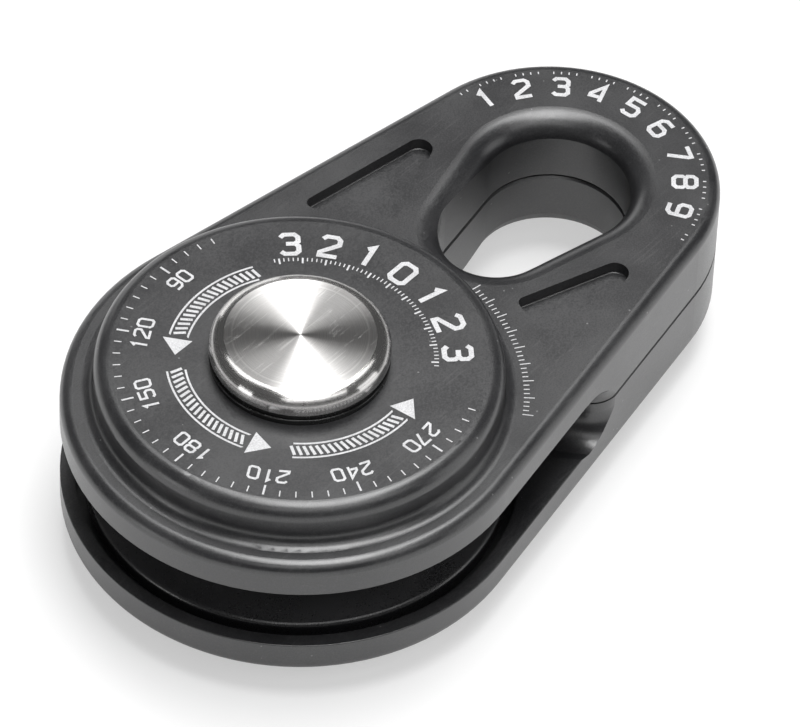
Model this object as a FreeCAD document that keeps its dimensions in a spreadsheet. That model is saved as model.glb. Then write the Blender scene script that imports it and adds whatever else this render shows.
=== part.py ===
import FreeCAD, Part
import math
import os
import re
import Sketcher

# A swing-side snatch block: two cheek plates with a tow eye, a rope sheave
# between them and one headed axle pin. The pin stands upright on Z, the eye
# lies toward +X, and the flat of the lower boss rests on Z = 0.

doc = FreeCAD.newDocument("snatch_block")
sheet = doc.addObject("Spreadsheet::Sheet", "Sizes")

# Sizes in millimetres and degrees
SIZES = [
    # Cheek plate outline
    ("sheave_cover", "5.8"),
    ("eye_radius", "40.6"),
    ("eye_reach", "38.3"),
    ("face_height", "18.4"),
    ("parting_gap", "0.5"),
    ("parting_chamfer", "0.3"),
    ("edge_round", "2.9"),
    ("inner_edge_round", "0.3"),
    # Round bosses over the axle, the lower one less high
    ("boss_height", "10.9"),
    ("foot_height", "9.4"),
    ("boss_margin", "8"),
    ("boss_round", "3.8"),
    ("boss_cove", "3"),
    # Tow eye
    ("slot_radius", "18.7"),
    ("slot_inner_radius", "15.1"),
    ("slot_inner_offset", "17.2"),
    ("slot_chamfer", "0.5"),
    ("mouth_radius", "18.6"),
    ("mouth_inner_radius", "12.9"),
    ("mouth_inner_offset", "15.2"),
    ("mouth_round", "6.3"),
    # Triangular face pockets
    ("pocket_depth", "3.3"),
    ("pocket_margin", "9"),
    ("pocket_wall", "4"),
    ("pocket_tip_radius", "3.35"),
    ("pocket_angle", "20"),
    ("pocket_arc_offset", "3.4"),
    ("pocket_corner", "2"),
    ("pocket_floor_round", "0.35"),
    # Rope chamber between the plates
    ("rope_gap", "18.2"),
    ("guard_gap", "2.4"),
    ("guard_angle", "30.5"),
    ("flank_angle", "58"),
    ("flare_radius", "7.5"),
    ("flare_step", "0.05"),
    ("throat_round", "8.4"),
    ("trough_round", "7"),
    ("trough_drop", "1.3"),
    ("trough_floor_width", "7.2"),
    ("throat_width", "10.4"),
    # Sheave
    ("sheave_radius", "51.2"),
    ("sheave_width", "25.4"),
    ("rope_diameter", "11.1"),
    ("groove_allowance", "0.35"),
    ("groove_depth", "11.2"),
    ("groove_angle", "22"),
    ("lip_round", "1.3"),
    ("rim_round", "0.8"),
    # Axle pin
    ("pin_radius", "12.7"),
    ("head_overhang", "9"),
    ("head_thickness", "5.3"),
    ("head_round", "3.6"),
    ("head_under_round", "0.6"),
    ("pin_end_chamfer", "1"),
    # Bearings, washers and seal
    ("running_clearance", "0.05"),
    ("seat_clearance", "0.02"),
    ("bushing_wall", "3.2"),
    ("liner_wall", "2.8"),
    ("thrust_thickness", "1"),
    ("thrust_reach", "11.3"),
    ("seal_thickness", "2.9"),
    ("seal_inset", "0.1"),
    ("seal_lip", "0.5"),
    ("seal_lip_height", "1.4"),
    ("seal_round", "0.4"),
    ("seal_bore_gap", "0.3"),
    # Pin retention inside the lower boss
    ("well_reach", "7.3"),
    ("well_depth", "8"),
    ("well_gap", "0.5"),
    ("backing_thickness", "3"),
    ("spring_thickness", "0.8"),
    ("spring_height", "1.3"),
    ("spring_reach", "5.3"),
    ("spring_bore_gap", "0.4"),
    ("ring_thickness", "1.5"),
    ("ring_groove_depth", "1.1"),
    ("ring_groove_slack", "0.1"),
    ("ring_reach", "3.5"),
    ("ring_mouth_angle", "36"),
]

# Sizes that follow from the ones above
DERIVED = [
    ("end_radius", "sheave_radius + sheave_cover"),
    ("eye_distance", "end_radius + eye_reach"),
    ("boss_radius", "end_radius - boss_margin"),
    ("boss_top", "face_height + boss_height"),
    ("foot_top", "face_height + foot_height"),
    ("taper", "asin((end_radius - eye_radius) / eye_distance) / 1 deg"),
    ("slot_inner_distance", "end_radius + slot_inner_offset"),
    ("mouth_inner_distance", "end_radius + mouth_inner_offset"),
    ("recess_radius", "sheave_radius + guard_gap"),
    ("recess_floor", "sheave_width / 2 + thrust_thickness"),
    ("land", "rope_gap / 2"),
    ("start_x", "recess_radius * cos(guard_angle)"),
    ("start_y", "recess_radius * sin(guard_angle)"),
    ("flank_depth", "end_radius - start_x * sin(taper) - start_y * cos(taper)"),
    ("flank_run", "(flank_depth - flare_radius + flare_step"
                  " + flare_radius * cos(flank_angle + taper))"
                  " / sin(flank_angle + taper)"),
    ("flank_x", "start_x + flank_run * cos(flank_angle)"),
    ("flank_y", "start_y + flank_run * sin(flank_angle)"),
    ("flare_x", "flank_x + flare_radius * (sin(flank_angle) + sin(taper))"),
    ("flare_y", "flank_y - flare_radius * (cos(flank_angle) - cos(taper))"),
    ("pocket_arc_radius", "end_radius + pocket_arc_offset"),
    ("pocket_edge", "end_radius - pocket_margin"),
    ("pocket_edge_run", "sqrt(pocket_arc_radius ^ 2 - pocket_edge ^ 2)"),
    ("pocket_side", "mouth_inner_distance * sin(pocket_angle)"
                    " - mouth_inner_radius - mouth_round - pocket_wall"),
    ("pocket_side_run", "sqrt(pocket_arc_radius ^ 2 - pocket_side ^ 2)"),
    ("tip_x", "((pocket_edge - pocket_tip_radius) * cos(pocket_angle)"
              " - (pocket_tip_radius - pocket_side) * cos(taper)) / sin(taper + pocket_angle)"),
    ("tip_y", "((pocket_edge - pocket_tip_radius) * sin(pocket_angle)"
              " + (pocket_tip_radius - pocket_side) * sin(taper)) / sin(taper + pocket_angle)"),
    ("tread_radius", "sheave_radius - groove_depth"),
    ("groove_radius", "rope_diameter / 2 + groove_allowance"),
    ("lip_height", "groove_radius / cos(groove_angle)"
                   " + (groove_depth - groove_radius) * tan(groove_angle)"),
    ("bushing_radius", "pin_radius + running_clearance + bushing_wall"),
    ("liner_radius", "pin_radius + running_clearance + liner_wall"),
    ("thrust_radius", "pin_radius + thrust_reach"),
    ("head_radius", "pin_radius + head_overhang"),
    ("seal_radius", "head_radius - seal_inset"),
    ("well_radius", "pin_radius + well_reach"),
    ("spring_radius", "pin_radius + spring_reach"),
    ("ring_radius", "pin_radius + ring_reach"),
    ("well_floor", "foot_top - well_depth"),
    ("ring_low", "well_floor + backing_thickness + spring_height"),
]

row = 1
for alias, text in SIZES:
    sheet.set("A%d" % row, alias.replace("_", " "))
    sheet.set("B%d" % row, text)
    sheet.setAlias("B%d" % row, alias)
    row += 1
doc.recompute()
for alias, text in DERIVED:
    sheet.set("A%d" % row, alias.replace("_", " "))
    sheet.set("B%d" % row, "=" + text)
    sheet.setAlias("B%d" % row, alias)
    row += 1
    doc.recompute()

ALIASES = [alias for alias, text in SIZES + DERIVED]
WORD = re.compile(r"\b(" + "|".join(sorted(ALIASES, key=len, reverse=True)) + r")\b")


# Turn a plain formula into one that reads the sheet
def linked(text):
    return WORD.sub(lambda found: "Sizes." + found.group(1), text)


# The number a formula gives with the sizes as they stand
def value(text):
    result = sheet.evalExpression(linked(text))
    return float(getattr(result, "Value", result))


def bind(thing, target, text):
    thing.setExpression(target, linked(text))


# Sketches on a body's own planes
def sketch_on(body, name, plane, level=None):
    sketch = body.newObject("Sketcher::SketchObject", name)
    support = [p for p in body.Origin.OriginFeatures if p.Role == plane][0]
    sketch.AttachmentSupport = [(support, "")]
    sketch.MapMode = "FlatFace"
    if level:
        bind(sketch, ".AttachmentOffset.Base.z", level)
    return sketch


def drive(sketch, kind, where, text):
    index = sketch.addConstraint(Sketcher.Constraint(kind, *where, value(text)))
    bind(sketch, "Constraints[%d]" % index, text)


# A chain of straight and round stretches through the given corners. A corner
# is (x, y) or, when a round stretch leads to the next one, (x, y, radius,
# "left" or "right") with the side its centre lies on.
def outline(sketch, corners, closed=True):
    points = [FreeCAD.Vector(value(c[0]), value(c[1]), 0) for c in corners]
    count = len(corners) if closed else len(corners) - 1
    ends = []
    for i in range(count):
        first, last = points[i], points[(i + 1) % len(points)]
        if len(corners[i]) == 2:
            number = sketch.addGeometry(Part.LineSegment(first, last), False)
            ends.append((number, 1, 2))
            continue
        radius, side = value(corners[i][2]), corners[i][3]
        across = last - first
        reach = math.sqrt(max(radius ** 2 - (across.Length / 2) ** 2, 0))
        normal = FreeCAD.Vector(-across.y, across.x, 0).normalize()
        turn = 1 if side == "left" else -1
        centre = (first + last) * 0.5 + normal * (reach * turn)
        begin = math.atan2(first.y - centre.y, first.x - centre.x)
        finish = math.atan2(last.y - centre.y, last.x - centre.x)
        circle = Part.Circle(centre, FreeCAD.Vector(0, 0, 1), radius)
        if side == "left":
            number = sketch.addGeometry(Part.ArcOfCircle(circle, begin, finish), False)
            ends.append((number, 1, 2))
        else:
            number = sketch.addGeometry(Part.ArcOfCircle(circle, finish, begin), False)
            ends.append((number, 2, 1))
        drive(sketch, "Radius", (number,), corners[i][2])
    joints = len(ends) if closed else len(ends) - 1
    for i in range(joints):
        number, start, end = ends[i]
        following, other, _ = ends[(i + 1) % len(ends)]
        sketch.addConstraint(Sketcher.Constraint("Coincident", number, end, following, other))
    for i in range(len(ends)):
        number, start, end = ends[i]
        drive(sketch, "DistanceX", (number, start), corners[i][0])
        drive(sketch, "DistanceY", (number, start), corners[i][1])
    if not closed:
        number, start, end = ends[-1]
        drive(sketch, "DistanceX", (number, end), corners[-1][0])
        drive(sketch, "DistanceY", (number, end), corners[-1][1])


# Two circles on the X axis joined by their outer tangents, each outline given
# as the near circle's place and radius and the far circle's
WALL = ("0", "end_radius", "eye_distance", "eye_radius")
SLOT = ("slot_inner_distance", "slot_inner_radius", "eye_distance", "slot_radius")
MOUTH = ("mouth_inner_distance", "mouth_inner_radius", "eye_distance", "mouth_radius")


def joined_circles(sketch, near_x, near_radius, far_x, far_radius):
    x1, r1, x2, r2 = value(near_x), value(near_radius), value(far_x), value(far_radius)
    lean = math.asin((r1 - r2) / (x2 - x1))
    up = math.pi / 2 - lean
    flat = FreeCAD.Vector(0, 0, 1)
    near = Part.Circle(FreeCAD.Vector(x1, 0, 0), flat, r1)
    far = Part.Circle(FreeCAD.Vector(x2, 0, 0), flat, r2)
    arc1 = sketch.addGeometry(Part.ArcOfCircle(near, up, 2 * math.pi - up), False)
    arc2 = sketch.addGeometry(Part.ArcOfCircle(far, -up, up), False)
    sides = []
    for sign in (1, -1):
        a = FreeCAD.Vector(x1 + r1 * math.sin(lean), sign * r1 * math.cos(lean), 0)
        b = FreeCAD.Vector(x2 + r2 * math.sin(lean), sign * r2 * math.cos(lean), 0)
        sides.append(sketch.addGeometry(Part.LineSegment(a, b), False))
    for one, end, other, start in (
        (arc1, 1, sides[0], 1),
        (arc1, 2, sides[1], 1),
        (arc2, 2, sides[0], 2),
        (arc2, 1, sides[1], 2),
    ):
        sketch.addConstraint(Sketcher.Constraint("Tangent", one, end, other, start))
    for number, x, radius in ((arc1, near_x, near_radius), (arc2, far_x, far_radius)):
        sketch.addConstraint(Sketcher.Constraint("PointOnObject", number, 3, -1))
        drive(sketch, "DistanceX", (number, 3), x)
        drive(sketch, "Radius", (number,), radius)


def round_hole(sketch, radius):
    flat = FreeCAD.Vector(0, 0, 1)
    circle = Part.Circle(FreeCAD.Vector(0, 0, 0), flat, value(radius))
    number = sketch.addGeometry(circle, False)
    sketch.addConstraint(Sketcher.Constraint("Coincident", number, 3, -1, 1))
    drive(sketch, "Radius", (number,), radius)


def new_body(label):
    body = doc.addObject("PartDesign::Body", label)
    body.Label = label
    return body


def pad(body, sketch, length):
    feature = body.newObject("PartDesign::Pad", sketch.Name + "_pad")
    feature.Profile = sketch
    bind(feature, "Length", length)
    doc.recompute()
    return feature


# A cut that goes up from its sketch unless it is turned down
def cut(body, sketch, depth=None, down=False):
    feature = body.newObject("PartDesign::Pocket", sketch.Name + "_cut")
    feature.Profile = sketch
    feature.Reversed = not down
    if depth:
        bind(feature, "Length", depth)
    else:
        feature.Type = 1
    doc.recompute()
    return feature


def turn(body, sketch, angle=None):
    feature = body.newObject("PartDesign::Revolution", sketch.Name + "_turned")
    feature.Profile = sketch
    feature.ReferenceAxis = (sketch, ["V_Axis"])
    if angle:
        bind(feature, "Angle", angle)
    else:
        feature.Angle = 360
    doc.recompute()
    return feature


# Names of the edges whose points all pass the test
def edges_where(shape, test):
    names = []
    for number, edge in enumerate(shape.Edges, 1):
        if all(test(p) for p in edge.discretize(5)):
            names.append("Edge%d" % number)
    return names


def dress(body, kind, radius, test):
    base = body.Tip
    names = edges_where(base.Shape, test)
    feature = body.newObject("PartDesign::" + kind, "%s_%s" % (body.Name, kind))
    feature.Base = (base, names)
    bind(feature, "Radius" if kind == "Fillet" else "Size", radius)
    doc.recompute()
    return feature


def near(a, b, slack=0.01):
    return abs(a - b) < slack


# Depth of a point inside an outline of two joined circles
def depth(p, near_x, near_radius, far_x, far_radius):
    x1, r1, x2, r2 = value(near_x), value(near_radius), value(far_x), value(far_radius)
    lean = math.asin((r1 - r2) / (x2 - x1))
    x = p.x - x1
    along = x * math.cos(lean) - abs(p.y) * math.sin(lean)
    if along < 0:
        return r1 - math.hypot(x, p.y)
    if along > (x2 - x1) * math.cos(lean):
        return r2 - math.hypot(p.x - x2, p.y)
    return r1 - x * math.sin(lean) - abs(p.y) * math.cos(lean)


# A cheek plate with its parting plane on Z = 0 and its boss upward, up to the
# given level. Both plates are one pattern; the lower one is turned over about
# X, has a lower boss and holds the pin's retaining parts in a well.
def cheek_plate(label, bore, level, well):
    body = new_body(label)

    # Outline with a rounded outer edge
    plan = sketch_on(body, label + "_outline", "XY_Plane", "parting_gap / 2")
    joined_circles(plan, *WALL)
    pad(body, plan, "face_height - parting_gap / 2")
    top = value("face_height")
    foot = value("parting_gap / 2")
    dress(body, "Fillet", "edge_round", lambda p: near(p.z, top))
    dress(body, "Chamfer", "parting_chamfer", lambda p: near(p.z, foot))

    # Round boss with a cove at its foot
    side = sketch_on(body, label + "_boss", "XZ_Plane")
    outline(side, [
        ("0", "face_height - edge_round"),
        ("boss_radius + boss_cove", "face_height - edge_round"),
        ("boss_radius + boss_cove", "face_height", "boss_cove", "right"),
        ("boss_radius", "face_height + boss_cove"),
        ("boss_radius", level + " - boss_round", "boss_round", "left"),
        ("boss_radius - boss_round", level),
        ("0", level),
    ])
    turn(body, side)

    # Tow eye: a round bell mouth that meets the straight wall in a crease
    mouth = sketch_on(body, label + "_mouth", "XY_Plane")
    joined_circles(mouth, *MOUTH)
    cut(body, mouth)
    dress(body, "Fillet", "mouth_round",
          lambda p: near(p.z, top) and near(depth(p, *MOUTH), 0))
    eye = sketch_on(body, label + "_eye", "XY_Plane")
    joined_circles(eye, *SLOT)
    cut(body, eye)
    dress(body, "Chamfer", "slot_chamfer",
          lambda p: near(p.z, foot) and near(depth(p, *SLOT), 0))

    # Triangular pockets on both sides of the eye
    faces = sketch_on(body, label + "_pockets", "XY_Plane", "face_height")
    for sign, first, second in (("1", "right", "left"), ("-1", "left", "right")):
        outline(faces, [
            ("pocket_edge * sin(taper) + pocket_edge_run * cos(taper)",
             sign + " * (pocket_edge * cos(taper) - pocket_edge_run * sin(taper))"),
            ("tip_x + pocket_tip_radius * sin(taper)",
             sign + " * (tip_y + pocket_tip_radius * cos(taper))",
             "pocket_tip_radius", first),
            ("tip_x + pocket_tip_radius * sin(pocket_angle)",
             sign + " * (tip_y - pocket_tip_radius * cos(pocket_angle))"),
            ("pocket_side * sin(pocket_angle) + pocket_side_run * cos(pocket_angle)",
             sign + " * (pocket_side_run * sin(pocket_angle) - pocket_side * cos(pocket_angle))",
             "pocket_arc_radius", second),
        ])
    cut(body, faces, "pocket_depth", down=True)
    arc = value("pocket_arc_radius")
    floor = value("face_height - pocket_depth")
    tips = []
    for edge in body.Tip.Shape.Edges:
        low, high = edge.BoundBox.ZMin, edge.BoundBox.ZMax
        point = edge.discretize(2)[0]
        if near(low, floor) and near(high, top) and near(math.hypot(point.x, point.y), arc, 0.05):
            tips.append((point.x, point.y))
    dress(body, "Fillet", "pocket_corner",
          lambda p: any(near(p.x, x) and near(p.y, y) for x, y in tips)
          and floor - 0.01 < p.z < top + 0.01)
    dress(body, "Fillet", "pocket_floor_round",
          lambda p: near(p.z, floor) and depth(p, *WALL) > value("pocket_margin / 2"))

    # Rope chamber, open round the sheave end
    chamber = sketch_on(body, label + "_chamber", "XY_Plane")
    strip = "(throat_width + throat_round) / 2"
    inward = ("start_x - %s * sin(flank_angle) - throat_width / 2 * cos(flank_angle)" % strip,
              "start_y + %s * cos(flank_angle) - throat_width / 2 * sin(flank_angle)" % strip)
    outward = ("start_x - %s * sin(flank_angle) + end_radius * cos(flank_angle)" % strip,
               "start_y + %s * cos(flank_angle) + end_radius * sin(flank_angle)" % strip)
    outline(chamber, [
        (inward[0], "-(%s)" % inward[1]),
        (inward[0], inward[1]),
        (outward[0], outward[1]),
        ("-end_radius - throat_width", outward[1]),
        ("-end_radius - throat_width", "-(%s)" % outward[1]),
        (outward[0], "-(%s)" % outward[1]),
    ])
    cut(body, chamber, "land")
    land = value("land")
    dress(body, "Fillet", "inner_edge_round",
          lambda p: near(p.z, land) and near(depth(p, *WALL), 0))

    # Rope throats: a plain one, and a troughed one on the +Y side
    begin_x = "start_x - throat_width * cos(flank_angle)"
    begin_y = "(start_y - throat_width * sin(flank_angle))"
    for name, sign, side, angle, floor_round, floor in (
        ("throat", "-1", "left", "180 + 90 - flank_angle", "throat_round", []),
        ("trough", "1", "right", "180 - 90 + flank_angle", "trough_round",
         [("trough_floor_width", "land + trough_drop")]),
    ):
        low = floor[0][1] if floor else "land"
        path = sketch_on(body, "%s_%s_path" % (label, name), "XY_Plane")
        outline(path, [
            (begin_x, "%s * %s" % (sign, begin_y)),
            ("flank_x", sign + " * flank_y", "flare_radius", side),
            ("flare_x", sign + " * flare_y"),
            ("flare_x + throat_width * cos(taper)",
             sign + " * (flare_y - throat_width * sin(taper))"),
        ], closed=False)
        section = sketch_on(body, "%s_%s_section" % (label, name), "XZ_Plane")
        section.AttachmentOffset = FreeCAD.Placement(
            FreeCAD.Vector(0, 0, 0), FreeCAD.Rotation(FreeCAD.Vector(0, 1, 0), 1))
        bind(section, ".AttachmentOffset.Base.x", begin_x)
        bind(section, ".AttachmentOffset.Base.z", "-(%s) * %s" % (sign, begin_y))
        bind(section, ".AttachmentOffset.Rotation.Angle", angle)
        outline(section, [
            ("0", "0"),
            ("throat_width", "0"),
            ("throat_width", "land"),
        ] + floor + [
            (floor_round, low, floor_round, "left"),
            ("0", "%s - %s" % (low, floor_round)),
        ])
        sweep = body.newObject("PartDesign::SubtractivePipe", "%s_%s_sweep" % (label, name))
        sweep.Profile = section
        sweep.Spine = (path, ["Edge1", "Edge2", "Edge3"])
        doc.recompute()

    # Recess for the sheave and the axle bore
    recess = sketch_on(body, label + "_recess", "XY_Plane")
    round_hole(recess, "recess_radius")
    cut(body, recess, "recess_floor")
    hole = sketch_on(body, label + "_bore", "XY_Plane")
    round_hole(hole, bore)
    cut(body, hole)

    # Well for the pin's retaining parts
    if well:
        pit = sketch_on(body, label + "_well", "XY_Plane", level)
        round_hole(pit, "well_radius")
        cut(body, pit, "well_depth", down=True)

    bind(body, ".Placement.Base.z", "foot_top")
    return body


upper = cheek_plate("upper_side_plate", "liner_radius", "boss_top", False)
lower = cheek_plate("lower_side_plate", "pin_radius + seat_clearance", "foot_top", True)
lower.Placement.Rotation = FreeCAD.Rotation(FreeCAD.Vector(1, 0, 0), 180)


# A turned part about Z from corners given as (radius, height)
def turned(label, corners, angle=None):
    body = new_body(label)
    section = sketch_on(body, label + "_section", "XZ_Plane")
    outline(section, corners)
    turn(body, section, angle)
    bind(body, ".Placement.Base.z", "foot_top")
    return body


# Sheave with a round-bottomed rope groove
sheave = turned("sheave", [
    ("bushing_radius", "-sheave_width / 2"),
    ("sheave_radius", "-sheave_width / 2"),
    ("sheave_radius", "-lip_height"),
    ("tread_radius + groove_radius - groove_radius * sin(groove_angle)",
     "-groove_radius * cos(groove_angle)", "groove_radius", "right"),
    ("tread_radius + groove_radius - groove_radius * sin(groove_angle)",
     "groove_radius * cos(groove_angle)"),
    ("sheave_radius", "lip_height"),
    ("sheave_radius", "sheave_width / 2"),
    ("bushing_radius", "sheave_width / 2"),
])
rim = value("sheave_radius")
lip = value("lip_height")
half = value("sheave_width / 2")
dress(sheave, "Fillet", "lip_round",
      lambda p: near(math.hypot(p.x, p.y), rim) and near(abs(p.z), lip))
dress(sheave, "Fillet", "rim_round",
      lambda p: near(math.hypot(p.x, p.y), rim) and near(abs(p.z), half))

# Headed axle pin with a groove for its retaining ring
axle = turned("axle_pin", [
    ("0", "-foot_top"),
    ("pin_radius - pin_end_chamfer", "-foot_top"),
    ("pin_radius", "-foot_top + pin_end_chamfer"),
    ("pin_radius", "-ring_low - ring_thickness - ring_groove_slack"),
    ("pin_radius - ring_groove_depth", "-ring_low - ring_thickness - ring_groove_slack"),
    ("pin_radius - ring_groove_depth", "-ring_low"),
    ("pin_radius", "-ring_low"),
    ("pin_radius", "boss_top + seal_thickness"),
    ("head_radius - head_under_round", "boss_top + seal_thickness",
     "head_under_round", "left"),
    ("head_radius", "boss_top + seal_thickness + head_under_round"),
    ("head_radius", "boss_top + seal_thickness + head_thickness - head_round",
     "head_round", "left"),
    ("head_radius - head_round", "boss_top + seal_thickness + head_thickness"),
    ("0", "boss_top + seal_thickness + head_thickness"),
])

# Seal ring between the head and the upper boss, with a lip at its foot
seal = turned("head_seal_ring", [
    ("pin_radius + seal_bore_gap", "boss_top"),
    ("seal_radius", "boss_top"),
    ("seal_radius", "boss_top + seal_lip_height - seal_round", "seal_round", "left"),
    ("seal_radius - seal_round", "boss_top + seal_lip_height"),
    ("seal_radius - seal_lip", "boss_top + seal_lip_height"),
    ("seal_radius - seal_lip", "boss_top + seal_thickness"),
    ("pin_radius + seal_bore_gap", "boss_top + seal_thickness"),
])


# Plain ring between two radii and two heights
def plain_ring(label, inside, outside, low, high):
    return turned(label, [
        (inside, low),
        (outside, low),
        (outside, high),
        (inside, high),
    ])


bushing = plain_ring("sheave_bushing", "pin_radius + running_clearance", "bushing_radius",
                     "-sheave_width / 2", "sheave_width / 2")
liner = plain_ring("plate_liner", "pin_radius + running_clearance", "liner_radius",
                   "recess_floor", "boss_top")
upper_thrust = plain_ring("upper_thrust_washer", "pin_radius + seat_clearance",
                          "thrust_radius", "sheave_width / 2", "recess_floor")
lower_thrust = plain_ring("lower_thrust_washer", "pin_radius + seat_clearance",
                          "thrust_radius", "-recess_floor", "-sheave_width / 2")
backing = plain_ring("backing_washer", "pin_radius + seat_clearance",
                     "well_radius - well_gap",
                     "-well_floor - backing_thickness", "-well_floor")

# Coned spring washer under the retaining ring
spring = turned("disc_spring", [
    ("pin_radius + spring_bore_gap", "-ring_low"),
    ("spring_radius", "-ring_low + spring_height - spring_thickness"),
    ("spring_radius", "-ring_low + spring_height"),
    ("pin_radius + spring_bore_gap", "-ring_low + spring_thickness"),
])

# Open retaining ring in the pin's groove
ring = turned("retaining_ring", [
    ("pin_radius - ring_groove_depth + seat_clearance", "-ring_low - ring_thickness"),
    ("ring_radius", "-ring_low - ring_thickness"),
    ("ring_radius", "-ring_low"),
    ("pin_radius - ring_groove_depth + seat_clearance", "-ring_low"),
], "360 - ring_mouth_angle")

doc.recompute()

# Check every object and every part before anything is written
parts = [lower, upper, liner, sheave, bushing, axle, seal, upper_thrust, lower_thrust,
         backing, spring, ring]
for thing in doc.Objects:
    if "Invalid" in thing.State or "Error" in thing.State:
        raise RuntimeError("%s did not compute" % thing.Label)
for part in parts:
    shape = part.Shape
    if shape.isNull() or not shape.isValid() or len(shape.Solids) != 1:
        raise RuntimeError("%s is not one sound solid" % part.Label)

os.makedirs("parts", exist_ok=True)
for part in parts:
    part.Shape.exportStep(os.path.join("parts", part.Label + ".step"))
    box = part.Shape.BoundBox
    print("%-20s %8.1f mm3  z %.2f to %.2f" % (part.Label, part.Shape.Volume, box.ZMin, box.ZMax))
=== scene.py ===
# Dresses the snatch block's solids: finishes, white print, camera, floor and soft boxes
import bmesh
import bpy
import math
from mathutils import Matrix, Vector


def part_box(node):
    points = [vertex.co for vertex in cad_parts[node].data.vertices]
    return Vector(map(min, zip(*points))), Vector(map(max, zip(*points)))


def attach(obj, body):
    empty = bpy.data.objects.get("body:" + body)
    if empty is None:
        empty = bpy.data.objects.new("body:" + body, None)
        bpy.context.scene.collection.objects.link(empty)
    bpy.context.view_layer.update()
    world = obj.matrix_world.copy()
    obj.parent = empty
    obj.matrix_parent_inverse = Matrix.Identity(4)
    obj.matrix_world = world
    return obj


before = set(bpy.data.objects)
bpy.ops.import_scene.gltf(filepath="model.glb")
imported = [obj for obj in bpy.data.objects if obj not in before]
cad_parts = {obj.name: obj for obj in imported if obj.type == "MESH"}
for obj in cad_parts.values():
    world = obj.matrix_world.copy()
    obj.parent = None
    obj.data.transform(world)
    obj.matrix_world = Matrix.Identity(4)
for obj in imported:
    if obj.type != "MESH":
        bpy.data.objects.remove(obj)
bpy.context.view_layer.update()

# Places read from the solids, in metres
LOWER_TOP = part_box("lower_side_plate")[1][2]
UPPER_LOW, UPPER_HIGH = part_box("upper_side_plate")
MIDDLE = (LOWER_TOP + UPPER_LOW[2]) / 2
BOSS_TOP = UPPER_HIGH[2]
HEAD_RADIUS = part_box("axle_pin")[1][0]

# Sizes of the solids that the print and the turned face keep to
FACE_HEIGHT = 0.0184
FACE_TOP = MIDDLE + FACE_HEIGHT
EYE_RADIUS = 0.0406
EYE_CENTRE = UPPER_HIGH[0] - EYE_RADIUS
HEAD_ROUND = 0.0036

# Fine line that the lathe left on the head
LATHE_LINE_RADIUS = 0.0163
LATHE_LINE_WIDTH = 0.00013

# Camera, set to the photograph's viewing angle: angles in degrees, lens in millimetres
AIM = Vector((0.0360, -0.0015, MIDDLE))
CAMERA_COMPASS = -141.12
CAMERA_HEIGHT = 46.96
CAMERA_ROLL = 2.47
CAMERA_DISTANCE = 1.8129
CAMERA_LENS = 336.6
CAMERA_REACH = 20
SENSOR_WIDTH = 36

# Light and floor
LIGHT_CENTRE = Vector((0.03, 0, MIDDLE))
LIGHT_DISTANCE = 3.0
STUDIO_LIGHT = 0.1
FLOOR_REACH = 6.0
FLOOR_LEVEL = -0.0001
FLOOR_COLOR = (0.97, 0.97, 0.97)
FLOOR_GLOW = 0.5
FLOOR_GLOW_MIRRORED = 0.15

# Print; strokes that cross lie on layers a few thousandths of a millimetre apart
MM = 0.001
PRINT_THICKNESS = 0.06 * MM
LAYER_STEP = 0.004 * MM
LAYERS = 5
MITRE_LIMIT = 0.4
ARC_STEP = 2

# Height of a figure and room from one to the next, in widths of a figure
FIGURE_TALL = 1.5
FIGURE_STEP = 1.45


# A direction given by degrees to the right of the camera and degrees of height
def toward(turned, height):
    compass = math.radians(CAMERA_COMPASS + turned)
    level = math.cos(math.radians(height))
    return Vector((level * math.cos(compass), level * math.sin(compass),
                   math.sin(math.radians(height))))


def add_camera():
    data = bpy.data.cameras.new("camera")
    data.sensor_width = SENSOR_WIDTH
    data.lens = CAMERA_LENS
    data.clip_end = CAMERA_REACH
    camera = bpy.data.objects.new("camera", data)
    bpy.context.collection.objects.link(camera)
    out = toward(0, CAMERA_HEIGHT)
    turn = (-out).to_track_quat("-Z", "Y").to_matrix().to_4x4()
    roll = Matrix.Rotation(math.radians(CAMERA_ROLL), 4, "Z")
    camera.matrix_world = Matrix.Translation(AIM + out * CAMERA_DISTANCE) @ turn @ roll
    bpy.context.scene.camera = camera


# Shader helpers
def new_material(name):
    material = bpy.data.materials.new(name)
    material.use_nodes = True
    tree = material.node_tree
    return material, tree, tree.nodes["Principled BSDF"]


def node(tree, kind, **settings):
    made = tree.nodes.new(kind)
    for key, setting in settings.items():
        setattr(made, key, setting)
    return made


def feed(tree, socket, item):
    if isinstance(item, (int, float)):
        socket.default_value = item
    elif isinstance(item, tuple):
        socket.default_value = (*item, 1)
    else:
        tree.links.new(item, socket)


def math_node(tree, operation, first, second):
    made = node(tree, "ShaderNodeMath", operation=operation)
    feed(tree, made.inputs[0], first)
    feed(tree, made.inputs[1], second)
    return made.outputs[0]


# One where the two numbers are closer than the margin, nought elsewhere
def near(tree, first, second, margin):
    made = node(tree, "ShaderNodeMath", operation="COMPARE")
    feed(tree, made.inputs[0], first)
    feed(tree, made.inputs[1], second)
    feed(tree, made.inputs[2], margin)
    return made.outputs[0]


def ramp(tree, source, low, high):
    made = node(tree, "ShaderNodeMapRange", interpolation_type="SMOOTHSTEP")
    feed(tree, made.inputs["Value"], source)
    made.inputs["From Min"].default_value = low
    made.inputs["From Max"].default_value = high
    return made.outputs["Result"]


def mix_color(tree, factor, first, second, blend="MIX"):
    made = node(tree, "ShaderNodeMix", data_type="RGBA", blend_type=blend)
    feed(tree, made.inputs[0], factor)
    feed(tree, made.inputs[6], first)
    feed(tree, made.inputs[7], second)
    return made.outputs[2]


def mix_number(tree, factor, first, second):
    made = node(tree, "ShaderNodeMix", data_type="FLOAT")
    feed(tree, made.inputs[0], factor)
    feed(tree, made.inputs[2], first)
    feed(tree, made.inputs[3], second)
    return made.outputs[0]


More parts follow.
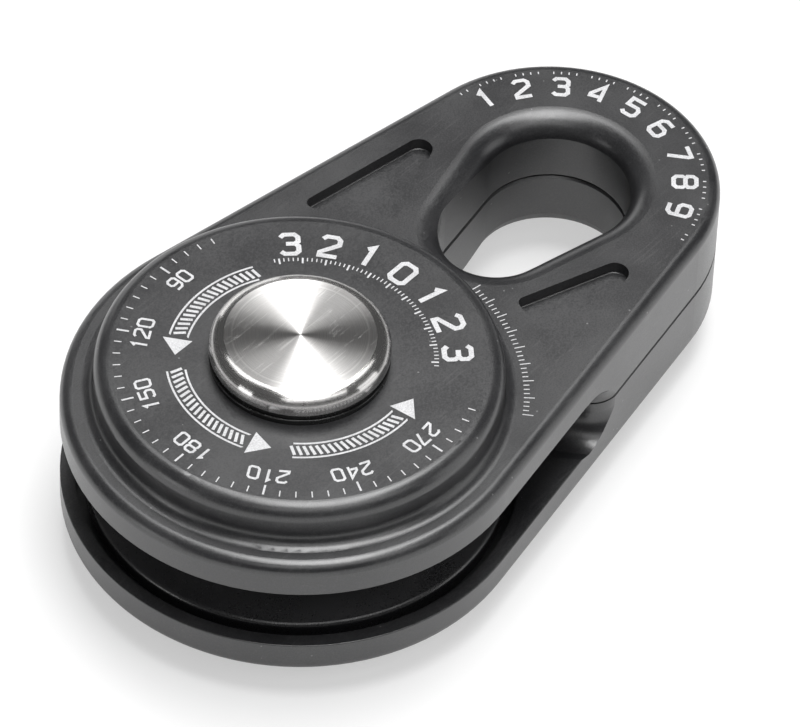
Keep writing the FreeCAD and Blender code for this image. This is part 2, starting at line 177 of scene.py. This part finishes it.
# Two masks laid over each other, each at its own strength
def joined(tree, first, second, first_strength, second_strength):
    return math_node(tree, "MAXIMUM", math_node(tree, "MULTIPLY", first, first_strength),
                     math_node(tree, "MULTIPLY", second, second_strength))


def noise(tree, place, scale, detail):
    made = node(tree, "ShaderNodeTexNoise")
    made.inputs["Detail"].default_value = detail
    feed(tree, made.inputs["Scale"], scale)
    feed(tree, made.inputs["Vector"], place)
    return made.outputs["Fac"]


def bump(tree, height, strength, distance):
    made = node(tree, "ShaderNodeBump")
    made.inputs["Strength"].default_value = strength
    made.inputs["Distance"].default_value = distance
    feed(tree, made.inputs["Height"], height)
    return made.outputs["Normal"]


NUMBER = "NodeSocketFloat"
COLOR = "NodeSocketColor"


def new_group(name, inputs, outputs):
    tree = bpy.data.node_groups.new(name, "ShaderNodeTree")
    for label, kind in inputs.items():
        tree.interface.new_socket(label, in_out="INPUT", socket_type=kind)
    for label, kind in outputs.items():
        tree.interface.new_socket(label, in_out="OUTPUT", socket_type=kind)
    return tree, tree.nodes.new("NodeGroupInput").outputs, tree.nodes.new("NodeGroupOutput").inputs


def place_group(tree, group, **values):
    made = node(tree, "ShaderNodeGroup", node_tree=group)
    for key, item in values.items():
        feed(tree, made.inputs[key.replace("_", " ").title()], item)
    return made.outputs


# Fine blasted grain with faint clouds
def grain_group():
    tree, given, result = new_group(
        "fine grain",
        {"Grain Scale": NUMBER, "Cloud Scale": NUMBER, "Dark": COLOR, "Light": COLOR,
         "Smooth": NUMBER, "Rough": NUMBER},
        {"Color": COLOR, "Roughness": NUMBER, "Height": NUMBER})
    fine_share = 0.6
    cloud_share = 0.4
    place = node(tree, "ShaderNodeTexCoord").outputs["Object"]
    fine = noise(tree, place, given["Grain Scale"], detail=3)
    cloud = noise(tree, place, given["Cloud Scale"], detail=4)
    blend = math_node(tree, "ADD", math_node(tree, "MULTIPLY", fine, fine_share),
                      math_node(tree, "MULTIPLY", cloud, cloud_share))
    spread = ramp(tree, blend, low=0.36, high=0.64)
    feed(tree, result["Color"], mix_color(tree, spread, given["Dark"], given["Light"]))
    feed(tree, result["Roughness"], mix_number(tree, spread, given["Smooth"], given["Rough"]))
    feed(tree, result["Height"], fine)
    return tree


# Sparse round specks: pale nicks in a metal, or pinholes in the print
def speck_group():
    tree, given, result = new_group(
        "handling specks",
        {"Scale": NUMBER, "Share": NUMBER, "Size": NUMBER},
        {"Mask": NUMBER})
    place = node(tree, "ShaderNodeTexCoord").outputs["Object"]
    cells = node(tree, "ShaderNodeTexVoronoi")
    feed(tree, cells.inputs["Vector"], place)
    feed(tree, cells.inputs["Scale"], given["Scale"])
    chance = node(tree, "ShaderNodeSeparateColor")
    feed(tree, chance.inputs[0], cells.outputs["Color"])
    chosen = math_node(tree, "LESS_THAN", chance.outputs[0], given["Share"])
    close = math_node(tree, "LESS_THAN", cells.outputs["Distance"], given["Size"])
    feed(tree, result["Mask"], math_node(tree, "MULTIPLY", chosen, close))
    return tree


# Rings left by a lathe about the upright axle
def ring_group():
    tree, given, result = new_group(
        "lathe rings",
        {"Ring Scale": NUMBER, "Dark": COLOR, "Light": COLOR},
        {"Color": COLOR, "Radius": NUMBER, "Height": NUMBER})
    place = node(tree, "ShaderNodeTexCoord").outputs["Object"]
    flat = node(tree, "ShaderNodeVectorMath", operation="MULTIPLY")
    feed(tree, flat.inputs[0], place)
    flat.inputs[1].default_value = (1, 1, 0)
    length = node(tree, "ShaderNodeVectorMath", operation="LENGTH")
    feed(tree, length.inputs[0], flat.outputs[0])
    radius = length.outputs["Value"]
    rings = node(tree, "ShaderNodeTexNoise", noise_dimensions="1D")
    rings.inputs["Detail"].default_value = 2
    rings.inputs["Scale"].default_value = 1
    feed(tree, rings.inputs["W"], math_node(tree, "MULTIPLY", radius, given["Ring Scale"]))
    height = rings.outputs["Fac"]
    spread = ramp(tree, height, low=0.3, high=0.7)
    feed(tree, result["Color"], mix_color(tree, spread, given["Dark"], given["Light"]))
    feed(tree, result["Radius"], radius)
    feed(tree, result["Height"], height)
    return tree


# Long hairlines from handling, in two leaning directions, broken into stretches
def hairline_group():
    tree, given, result = new_group(
        "hairlines",
        {"Fineness": NUMBER, "Share": NUMBER},
        {"Mask": NUMBER})
    stretch = (0.04, 1, 1)
    crest = 0.72
    break_scale = 170
    place = node(tree, "ShaderNodeTexCoord").outputs["Object"]
    masks = []
    for lean, shift in ((0.75, 0.0), (-0.45, 4.0)):
        turned = node(tree, "ShaderNodeMapping")
        turned.inputs["Rotation"].default_value = (0, 0, lean)
        turned.inputs["Location"].default_value = (shift, shift, 0)
        turned.inputs["Scale"].default_value = stretch
        feed(tree, turned.inputs["Vector"], place)
        lines = noise(tree, turned.outputs[0], given["Fineness"], detail=1)
        limit = math_node(tree, "SUBTRACT", crest, given["Share"])
        masks.append(math_node(tree, "GREATER_THAN", lines, limit))
    broken = ramp(tree, noise(tree, place, break_scale, detail=2), low=0.4, high=0.6)
    both = math_node(tree, "MAXIMUM", masks[0], masks[1])
    feed(tree, result["Mask"], math_node(tree, "MULTIPLY", both, broken))
    return tree


GRAIN = grain_group()
SPECKS = speck_group()
RINGS = ring_group()
HAIRLINES = hairline_group()


# Hard anodised aluminium, blasted before the coat
def anodised(name, dark, light, nick, smooth, rough):
    material, tree, shader = new_material(name)
    grain = place_group(tree, GRAIN, grain_scale=2600.0, cloud_scale=55.0,
                        dark=dark, light=light, smooth=smooth, rough=rough)
    specks = place_group(tree, SPECKS, scale=520.0, share=0.05, size=0.13)
    hairlines = place_group(tree, HAIRLINES, fineness=1100.0, share=0.04)
    pale = joined(tree, specks["Mask"], hairlines["Mask"], first_strength=0.6, second_strength=0.06)
    feed(tree, shader.inputs["Base Color"], mix_color(tree, pale, grain["Color"], nick))
    feed(tree, shader.inputs["Roughness"], grain["Roughness"])
    normal = bump(tree, grain["Height"], strength=0.16, distance=0.00008)
    feed(tree, shader.inputs["Normal"], normal)
    shader.inputs["IOR"].default_value = 1.72
    return material


# Pin steel: a turned face inside a polished rim
def turned_steel():
    scratched = (0.95, 0.94, 0.92)
    rim_roughness = 0.17
    face_roughness = 0.37
    ring_depth = 0.25
    material, tree, shader = new_material("turned_steel")
    rings = place_group(tree, RINGS, ring_scale=9000.0, dark=(0.5, 0.49, 0.48),
                        light=(0.72, 0.71, 0.7))
    specks = place_group(tree, SPECKS, scale=700.0, share=0.04, size=0.12)
    hairlines = place_group(tree, HAIRLINES, fineness=1500.0, share=0.06)
    lathe_line = near(tree, rings["Radius"], LATHE_LINE_RADIUS, LATHE_LINE_WIDTH)
    face = math_node(tree, "LESS_THAN", rings["Radius"], HEAD_RADIUS - HEAD_ROUND)
    marks = math_node(tree, "MAXIMUM", hairlines["Mask"], lathe_line)
    marks = math_node(tree, "MULTIPLY", marks, face)
    pale = joined(tree, specks["Mask"], marks, first_strength=0.5, second_strength=0.4)
    feed(tree, shader.inputs["Base Color"], mix_color(tree, pale, rings["Color"], scratched))
    feed(tree, shader.inputs["Roughness"], mix_number(tree, face, rim_roughness, face_roughness))
    turned = math_node(tree, "MULTIPLY", rings["Height"], ring_depth)
    height = math_node(tree, "MULTIPLY", math_node(tree, "ADD", turned, marks), face)
    feed(tree, shader.inputs["Normal"], bump(tree, height, strength=0.6, distance=0.00003))
    shader.inputs["Metallic"].default_value = 1
    shader.inputs["Anisotropic"].default_value = 1
    shader.inputs["Anisotropic Rotation"].default_value = 0.25
    around = node(tree, "ShaderNodeTangent", direction_type="RADIAL", axis="Z")
    feed(tree, shader.inputs["Tangent"], around.outputs[0])
    return material


# Bronze, zinc plate or spring steel with the marks of turning
def plain_metal(name, dark, light, smooth, rough):
    material, tree, shader = new_material(name)
    grain = place_group(tree, GRAIN, grain_scale=1500.0, cloud_scale=80.0,
                        dark=dark, light=light, smooth=smooth, rough=rough)
    rings = place_group(tree, RINGS, ring_scale=5000.0, dark=(0.8, 0.8, 0.8), light=(1.0, 1.0, 1.0))
    turned = mix_color(tree, 1, grain["Color"], rings["Color"], blend="MULTIPLY")
    feed(tree, shader.inputs["Base Color"], turned)
    feed(tree, shader.inputs["Roughness"], grain["Roughness"])
    shader.inputs["Metallic"].default_value = 1
    return material


def seal_rubber():
    material, tree, shader = new_material("seal_rubber")
    grain = place_group(tree, GRAIN, grain_scale=1800.0, cloud_scale=120.0,
                        dark=(0.006, 0.006, 0.006), light=(0.012, 0.012, 0.012),
                        smooth=0.18, rough=0.28)
    feed(tree, shader.inputs["Base Color"], grain["Color"])
    feed(tree, shader.inputs["Roughness"], grain["Roughness"])
    return material


# White marking print with pinholes where the plate shows through
def white_print():
    pinhole = (0.2, 0.2, 0.2)
    pinhole_strength = 0.6
    material, tree, shader = new_material("white_print")
    grain = place_group(tree, GRAIN, grain_scale=2600.0, cloud_scale=200.0,
                        dark=(0.52, 0.52, 0.53), light=(0.72, 0.72, 0.73), smooth=0.5, rough=0.7)
    specks = place_group(tree, SPECKS, scale=2400.0, share=0.1, size=0.3)
    holes = math_node(tree, "MULTIPLY", specks["Mask"], pinhole_strength)
    feed(tree, shader.inputs["Base Color"], mix_color(tree, holes, grain["Color"], pinhole))
    feed(tree, shader.inputs["Roughness"], grain["Roughness"])
    return material


def dress_nodes():
    charcoal = anodised("anodised_charcoal", dark=(0.012, 0.012, 0.0135),
                        light=(0.032, 0.032, 0.0335), nick=(0.2, 0.2, 0.2),
                        smooth=0.28, rough=0.38)
    black = anodised("anodised_black", dark=(0.01, 0.01, 0.011), light=(0.018, 0.018, 0.02),
                     nick=(0.06, 0.06, 0.06), smooth=0.26, rough=0.36)
    steel = turned_steel()
    bronze = plain_metal("bearing_bronze", dark=(0.42, 0.27, 0.12), light=(0.58, 0.39, 0.19),
                         smooth=0.28, rough=0.42)
    zinc = plain_metal("zinc_plate", dark=(0.42, 0.42, 0.43), light=(0.58, 0.58, 0.6),
                       smooth=0.3, rough=0.45)
    spring = plain_metal("oiled_spring_steel", dark=(0.05, 0.05, 0.055), light=(0.1, 0.1, 0.11),
                         smooth=0.25, rough=0.4)
    rubber = seal_rubber()
    for name, material in (
        ("lower_side_plate", charcoal),
        ("upper_side_plate", charcoal),
        ("sheave", black),
        ("axle_pin", steel),
        ("head_seal_ring", rubber),
        ("sheave_bushing", bronze),
        ("plate_liner", bronze),
        ("upper_thrust_washer", bronze),
        ("lower_thrust_washer", bronze),
        ("backing_washer", zinc),
        ("disc_spring", spring),
        ("retaining_ring", spring),
    ):
        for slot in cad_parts[name].material_slots:
            slot.material = material


# Angular figures as chains of points on a cell one unit wide and one and a half tall
STROKES = {
    "0": [[(0.2, 0), (0.8, 0), (1, 0.2), (1, 1.3), (0.8, 1.5), (0.2, 1.5), (0, 1.3), (0, 0.2),
           (0.2, 0)]],
    "1": [[(0.2, 1.25), (0.5, 1.5), (0.5, 0)]],
    "2": [[(0, 1.3), (0.2, 1.5), (0.8, 1.5), (1, 1.3), (1, 0.95), (0, 0.25), (0, 0), (1, 0)]],
    "3": [[(0, 1.3), (0.2, 1.5), (0.8, 1.5), (1, 1.3), (1, 0.95), (0.8, 0.78), (0.3, 0.78)],
          [(0.8, 0.78), (1, 0.6), (1, 0.2), (0.8, 0), (0.2, 0), (0, 0.2)]],
    "4": [[(0.75, 0), (0.75, 1.5), (0, 0.6), (0, 0.4), (0.6, 0.4)]],
    "5": [[(1, 1.5), (0, 1.5), (0, 0.85), (0.8, 0.85), (1, 0.65), (1, 0.2), (0.8, 0), (0.2, 0),
           (0, 0.2)]],
    "6": [[(0.9, 1.5), (0.25, 1.5), (0, 1.25), (0, 0.2), (0.2, 0), (0.8, 0), (1, 0.2), (1, 0.65),
           (0.8, 0.85), (0.15, 0.85)]],
    "7": [[(0, 1.5), (1, 1.5), (1, 1.3), (0.4, 0)]],
    "8": [[(0.2, 0.78), (0, 0.95), (0, 1.3), (0.2, 1.5), (0.8, 1.5), (1, 1.3), (1, 0.95),
           (0.8, 0.78), (0.2, 0.78)],
          [(0.1, 0.68), (0, 0.6), (0, 0.2), (0.2, 0), (0.8, 0), (1, 0.2), (1, 0.6), (0.9, 0.68)]],
    "9": [[(0.85, 0.65), (0.2, 0.65), (0, 0.85), (0, 1.3), (0.2, 1.5), (0.8, 1.5), (1, 1.3),
           (1, 0.25), (0.75, 0), (0.1, 0)]],
}


# A print laid out round a centre: a bearing in degrees, then millimetres across,
# which runs clockwise from the bearing, and out, which runs away from the centre
class Print:
    def __init__(self, name, centre, height):
        self.name = name
        self.centre = centre
        self.height = height
        self.mesh = bmesh.new()
        self.layer = 0

    def point(self, bearing, radius, across, out):
        angle = math.radians(bearing) - across / (radius + out)
        reach = (radius + out) * MM
        return self.mesh.verts.new((self.centre + reach * math.cos(angle),
                                    reach * math.sin(angle), self.layer * LAYER_STEP))

    # Ribbon of even width along a chain of points, on a layer of its own
    def stroke(self, bearing, radius, points, width):
        pairs = []
        self.layer = (self.layer + 1) % LAYERS
        last = len(points) - 1
        closed = points[0] == points[last]
        for i, here in enumerate(points):
            previous = points[i - 1] if i else points[last - 1]
            following = points[i + 1] if i < last else points[1]
            before = Vector(here) - Vector(previous) if i or closed else None
            after = Vector(following) - Vector(here) if i < last or closed else None
            first = (before or after).normalized()
            second = (after or before).normalized()
            along = (first + second).normalized()
            side = Vector((-along.y, along.x)) * (width / 2 / max(along.dot(first), MITRE_LIMIT))
            pairs.append([self.point(bearing, radius, here[0] + s * side.x, here[1] + s * side.y)
                          for s in (1, -1)])
        for (a, b), (c, d) in zip(pairs, pairs[1:]):
            self.mesh.faces.new((a, b, d, c))

    def bar(self, bearing, inner, outer, width):
        self.stroke(bearing, inner, [(0, 0), (0, outer - inner)], width)

    # Evenly spaced bars; each step that the given count divides has the long bar, or none
    def ticks(self, steps, start, spacing, every, short_bar, long_bar=None):
        for step in steps:
            chosen = short_bar if step % every else long_bar
            if chosen:
                self.bar(start + spacing * step, **chosen)

    def arc(self, start, end, radius, width):
        steps = max(2, round(abs(end - start) / ARC_STEP))
        points = [(math.radians(start - end) * radius * i / steps, 0) for i in range(steps + 1)]
        self.stroke(start, radius, points, width)

    def figures(self, bearing, radius, text, height, width):
        cell = height / FIGURE_TALL
        step = cell * FIGURE_STEP
        begin = -(step * (len(text) - 1) + cell) / 2
        for i, figure in enumerate(text):
            for chain in STROKES[figure]:
                self.stroke(bearing, radius,
                            [(begin + step * i + x * cell, y * cell) for x, y in chain], width)

    # Three-cornered head that points anticlockwise
    def arrow_head(self, bearing, radius, length, half_width):
        corners = [(0, -half_width), (-length, 0), (0, half_width)]
        self.mesh.faces.new([self.point(bearing, radius, *corner) for corner in corners])

    def finish(self, material, body):
        mesh = bpy.data.meshes.new(self.name)
        bmesh.ops.recalc_face_normals(self.mesh, faces=self.mesh.faces)
        self.mesh.to_mesh(mesh)
        self.mesh.free()
        mesh.materials.append(material)
        piece = bpy.data.objects.new(self.name, mesh)
        bpy.context.collection.objects.link(piece)
        piece.location.z = self.height
        thickness = piece.modifiers.new("thickness", "SOLIDIFY")
        thickness.thickness = PRINT_THICKNESS
        thickness.offset = 0
        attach(piece, body)


# Dial on the boss: three figures to each side of nought, and degrees round the rest
def add_dial(ink):
    dial = Print("dial_print", 0.0, BOSS_TOP)
    figure_spacing = 15
    figure_foot = 34.4
    degree_foot = 36.4
    for number in range(-3, 4):
        dial.figures(-figure_spacing * number, figure_foot, str(abs(number)), height=6.4, width=1.25)
    dial.ticks(range(-26, 27), start=0, spacing=2, every=5,
               short_bar=dict(inner=31.9, outer=33.0, width=0.28),
               long_bar=dict(inner=31.2, outer=33.0, width=0.45))
    dial.ticks(range(14, 59), start=0, spacing=5, every=6,
               short_bar=dict(inner=42.6, outer=44.4, width=0.3),
               long_bar=dict(inner=41.4, outer=44.4, width=0.5))
    for degrees in range(90, 300, 30):
        dial.figures(degrees, degree_foot, str(degrees), height=3.6, width=0.62)
    dial.finish(ink, "swing_plate")


# Three turning arrows round the pin's head, each a band of slanted bars with a head
def add_turning_arrows(ink):
    arrows = Print("turning_arrows", 0.0, BOSS_TOP)
    inner_edge = 27.4
    outer_edge = 31.8
    bar_foot = 28.2
    bar_slant = [(0.5, 0), (-0.5, 2.8)]
    bar_spacing = 3
    band_span = 56
    head_gap = 2
    head_middle = 29.6
    for start in (62, 140, 218):
        end = start + band_span
        for radius in (inner_edge, outer_edge):
            arrows.arc(start, end, radius, width=0.5)
        for bearing in range(start, end + 1, bar_spacing):
            arrows.stroke(bearing, bar_foot, bar_slant, width=0.75)
        arrows.arrow_head(end + head_gap, head_middle, length=5.2, half_width=3.6)
    arrows.finish(ink, "swing_plate")


# Numbered scale round the end of the eye
def add_eye_scale(ink):
    scale = Print("eye_scale_print", EYE_CENTRE, FACE_TOP)
    figure_start = 90
    figure_spacing = 17.5
    figure_foot = 29.0
    for number in range(1, 10):
        scale.figures(figure_start - figure_spacing * number, figure_foot, str(number),
                      height=5.6, width=1.1)
    scale.ticks(range(-27, 28), start=-1.5, spacing=3, every=5,
                short_bar=dict(inner=36.2, outer=37.0, width=0.3))
    scale.finish(ink, "swing_plate")


# Fine ruler on the face beside the boss
def add_ruler(ink):
    ruler = Print("ruler_print", 0.0, FACE_TOP)
    ruler.ticks(range(0, 33), start=-10, spacing=-1.45, every=4,
                short_bar=dict(inner=53.6, outer=55.0, width=0.26),
                long_bar=dict(inner=53.6, outer=56.2, width=0.26))
    ruler.finish(ink, "swing_plate")


def add_prints():
    ink = white_print()
    add_dial(ink)
    add_turning_arrows(ink)
    add_eye_scale(ink)
    add_ruler(ink)


# Pale floor, seen through from below; it glows towards the camera, which softens
# the shadow, and a little towards what mirrors it
def add_floor():
    mesh = bpy.data.meshes.new("floor")
    mesh.from_pydata([(x * FLOOR_REACH, y * FLOOR_REACH, 0)
                      for x, y in ((-1, -1), (1, -1), (1, 1), (-1, 1))], [], [(0, 1, 2, 3)])
    floor = bpy.data.objects.new("floor", mesh)
    bpy.context.collection.objects.link(floor)
    material, tree, shader = new_material("pale_floor")
    feed(tree, shader.inputs["Base Color"], FLOOR_COLOR)
    shader.inputs["Roughness"].default_value = 0.9
    shader.inputs["Specular IOR Level"].default_value = 0.1
    glow = node(tree, "ShaderNodeEmission")
    glow.inputs["Strength"].default_value = 1
    rays = node(tree, "ShaderNodeLightPath").outputs
    mirrored = math_node(tree, "MAXIMUM", rays["Is Glossy Ray"], rays["Is Transmission Ray"])
    share = math_node(tree, "ADD", math_node(tree, "MULTIPLY", rays["Is Camera Ray"], FLOOR_GLOW),
                      math_node(tree, "MULTIPLY", mirrored, FLOOR_GLOW_MIRRORED))
    from_above = node(tree, "ShaderNodeMixShader")
    feed(tree, from_above.inputs[0], share)
    tree.links.new(shader.outputs[0], from_above.inputs[1])
    tree.links.new(glow.outputs[0], from_above.inputs[2])
    from_below = node(tree, "ShaderNodeBsdfTransparent")
    either = node(tree, "ShaderNodeMixShader")
    feed(tree, either.inputs[0], node(tree, "ShaderNodeNewGeometry").outputs["Backfacing"])
    tree.links.new(from_above.outputs[0], either.inputs[1])
    tree.links.new(from_below.outputs[0], either.inputs[2])
    tree.links.new(either.outputs[0], tree.nodes["Material Output"].inputs["Surface"])
    mesh.materials.append(material)
    floor.location.z = FLOOR_LEVEL


# A soft box seen from the block at a given place, with its size in degrees;
# its tall side runs along the given direction
def soft_box(name, turned, height, wide, tall, brightness, along=Vector((0, 0, 1))):
    data = bpy.data.lights.new(name, "AREA")
    data.shape = "RECTANGLE"
    data.size = 2 * LIGHT_DISTANCE * math.tan(math.radians(wide / 2))
    data.size_y = 2 * LIGHT_DISTANCE * math.tan(math.radians(tall / 2))
    data.energy = brightness * math.pi * data.size * data.size_y
    lamp = bpy.data.objects.new(name, data)
    bpy.context.collection.objects.link(lamp)
    away = toward(turned, height)
    up = (along - away * along.dot(away)).normalized()
    turn = Matrix((up.cross(away), up, away)).transposed().to_4x4()
    lamp.matrix_world = Matrix.Translation(LIGHT_CENTRE + away * LIGHT_DISTANCE) @ turn


def add_lights():
    world = bpy.data.worlds.new("studio")
    bpy.context.scene.world = world
    world.use_nodes = True
    background = world.node_tree.nodes["Background"]
    background.inputs["Color"].default_value = (1, 1, 1, 1)
    background.inputs["Strength"].default_value = STUDIO_LIGHT
    soft_box("overhead_box", turned=125, height=84, wide=25, tall=40, brightness=10,
             along=toward(0, 0))
    soft_box("far_edge_box", turned=180, height=62, wide=40, tall=14, brightness=3.4)
    soft_box("front_box", turned=24, height=55, wide=56, tall=18, brightness=1.8)
    soft_box("right_box", turned=85, height=12, wide=28, tall=34, brightness=1.3)
    soft_box("back_box", turned=-160, height=12, wide=26, tall=18, brightness=1.6)
    soft_box("left_box", turned=-60, height=6, wide=16, tall=20, brightness=3)


add_camera()
dress_nodes()
add_prints()
add_floor()
add_lights()
bpy.context.scene.view_settings.view_transform = "Standard"
